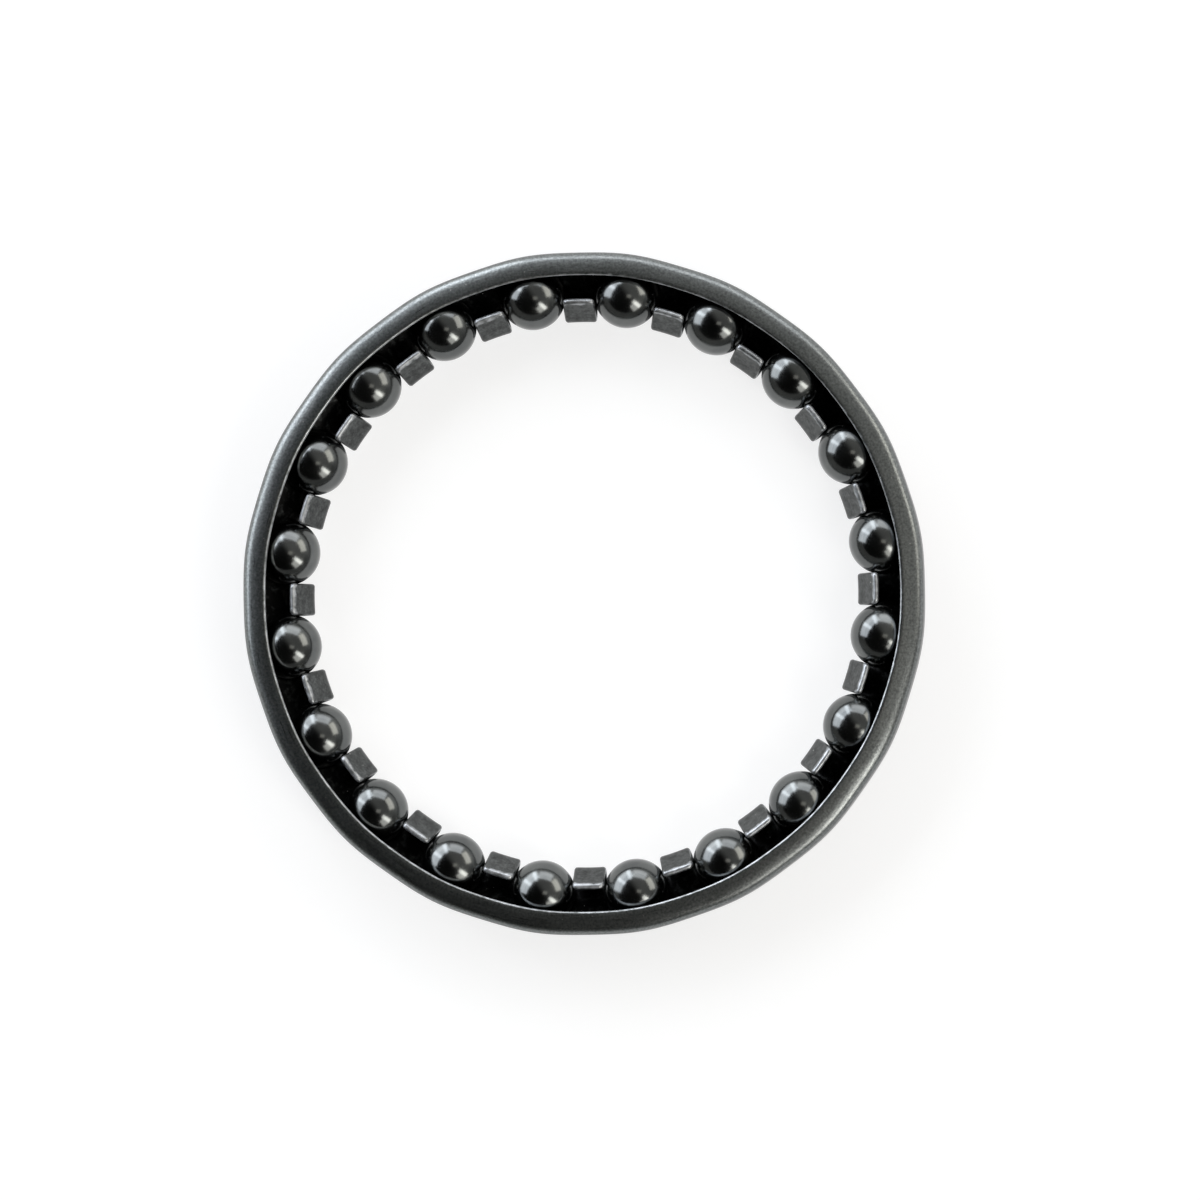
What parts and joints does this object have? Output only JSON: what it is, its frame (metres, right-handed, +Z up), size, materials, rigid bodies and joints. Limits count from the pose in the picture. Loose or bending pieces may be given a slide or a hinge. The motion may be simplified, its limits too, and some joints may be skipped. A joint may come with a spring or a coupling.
{
  "type": "ball bearing cage with balls",
  "caption": "Round pressed-steel ball separator for a steering-head bearing: a turned-in rim and upturned fingers hold a ring of polished steel balls that roll between cup and cone.",
  "frame": {"origin": "on the ring's axis, on the surface that the balls rest on", "axes": "+Z up along the ring's axis, towards the turned-in rim; +X through the middle of one finger"},
  "size_m": [0.0418, 0.0418, 0.0042],
  "materials": {
    "cage_steel": "dark oiled pressed sheet steel, satin",
    "ball_steel": "polished bearing steel, mirror-bright"
  },
  "bodies": {
    "cage": {"cage": "cage_steel"},
    "ball_01": {"ball_01": "ball_steel"},
    "ball_02": {"ball_02": "ball_steel"},
    "ball_03": {"ball_03": "ball_steel"},
    "ball_04": {"ball_04": "ball_steel"},
    "ball_05": {"ball_05": "ball_steel"},
    "ball_06": {"ball_06": "ball_steel"},
    "ball_07": {"ball_07": "ball_steel"},
    "ball_08": {"ball_08": "ball_steel"},
    "ball_09": {"ball_09": "ball_steel"},
    "ball_10": {"ball_10": "ball_steel"},
    "ball_11": {"ball_11": "ball_steel"},
    "ball_12": {"ball_12": "ball_steel"},
    "ball_13": {"ball_13": "ball_steel"},
    "ball_14": {"ball_14": "ball_steel"},
    "ball_15": {"ball_15": "ball_steel"},
    "ball_16": {"ball_16": "ball_steel"},
    "ball_17": {"ball_17": "ball_steel"},
    "ball_18": {"ball_18": "ball_steel"},
    "ball_19": {"ball_19": "ball_steel"},
    "ball_20": {"ball_20": "ball_steel"}
  },
  "joints": [
    {"name": "ball_01_roll", "type": "hinge", "parent": "cage", "child": "ball_01", "pos_m": [0.01824, 0.00289, 0.00198], "axis": [0.6984, 0.1106, 0.7071], "continuous": true},
    {"name": "ball_02_roll", "type": "hinge", "parent": "cage", "child": "ball_02", "pos_m": [0.01646, 0.00839, 0.00198], "axis": [0.63, 0.321, 0.7071], "continuous": true},
    {"name": "ball_03_roll", "type": "hinge", "parent": "cage", "child": "ball_03", "pos_m": [0.01306, 0.01306, 0.00198], "axis": [0.5, 0.5, 0.7071], "continuous": true},
    {"name": "ball_04_roll", "type": "hinge", "parent": "cage", "child": "ball_04", "pos_m": [0.00839, 0.01646, 0.00198], "axis": [0.321, 0.63, 0.7071], "continuous": true},
    {"name": "ball_05_roll", "type": "hinge", "parent": "cage", "child": "ball_05", "pos_m": [0.00289, 0.01824, 0.00198], "axis": [0.1106, 0.6984, 0.7071], "continuous": true},
    {"name": "ball_06_roll", "type": "hinge", "parent": "cage", "child": "ball_06", "pos_m": [-0.00289, 0.01824, 0.00198], "axis": [-0.1106, 0.6984, 0.7071], "continuous": true},
    {"name": "ball_07_roll", "type": "hinge", "parent": "cage", "child": "ball_07", "pos_m": [-0.00839, 0.01646, 0.00198], "axis": [-0.321, 0.63, 0.7071], "continuous": true},
    {"name": "ball_08_roll", "type": "hinge", "parent": "cage", "child": "ball_08", "pos_m": [-0.01306, 0.01306, 0.00198], "axis": [-0.5, 0.5, 0.7071], "continuous": true},
    {"name": "ball_09_roll", "type": "hinge", "parent": "cage", "child": "ball_09", "pos_m": [-0.01646, 0.00839, 0.00198], "axis": [-0.63, 0.321, 0.7071], "continuous": true},
    {"name": "ball_10_roll", "type": "hinge", "parent": "cage", "child": "ball_10", "pos_m": [-0.01824, 0.00289, 0.00198], "axis": [-0.6984, 0.1106, 0.7071], "continuous": true},
    {"name": "ball_11_roll", "type": "hinge", "parent": "cage", "child": "ball_11", "pos_m": [-0.01824, -0.00289, 0.00198], "axis": [-0.6984, -0.1106, 0.7071], "continuous": true},
    {"name": "ball_12_roll", "type": "hinge", "parent": "cage", "child": "ball_12", "pos_m": [-0.01646, -0.00839, 0.00198], "axis": [-0.63, -0.321, 0.7071], "continuous": true},
    {"name": "ball_13_roll", "type": "hinge", "parent": "cage", "child": "ball_13", "pos_m": [-0.01306, -0.01306, 0.00198], "axis": [-0.5, -0.5, 0.7071], "continuous": true},
    {"name": "ball_14_roll", "type": "hinge", "parent": "cage", "child": "ball_14", "pos_m": [-0.00839, -0.01646, 0.00198], "axis": [-0.321, -0.63, 0.7071], "continuous": true},
    {"name": "ball_15_roll", "type": "hinge", "parent": "cage", "child": "ball_15", "pos_m": [-0.00289, -0.01824, 0.00198], "axis": [-0.1106, -0.6984, 0.7071], "continuous": true},
    {"name": "ball_16_roll", "type": "hinge", "parent": "cage", "child": "ball_16", "pos_m": [0.00289, -0.01824, 0.00198], "axis": [0.1106, -0.6984, 0.7071], "continuous": true},
    {"name": "ball_17_roll", "type": "hinge", "parent": "cage", "child": "ball_17", "pos_m": [0.00839, -0.01646, 0.00198], "axis": [0.321, -0.63, 0.7071], "continuous": true},
    {"name": "ball_18_roll", "type": "hinge", "parent": "cage", "child": "ball_18", "pos_m": [0.01306, -0.01306, 0.00198], "axis": [0.5, -0.5, 0.7071], "continuous": true},
    {"name": "ball_19_roll", "type": "hinge", "parent": "cage", "child": "ball_19", "pos_m": [0.01646, -0.00839, 0.00198], "axis": [0.63, -0.321, 0.7071], "continuous": true},
    {"name": "ball_20_roll", "type": "hinge", "parent": "cage", "child": "ball_20", "pos_m": [0.01824, -0.00289, 0.00198], "axis": [0.6984, -0.1106, 0.7071], "continuous": true}
  ]
}
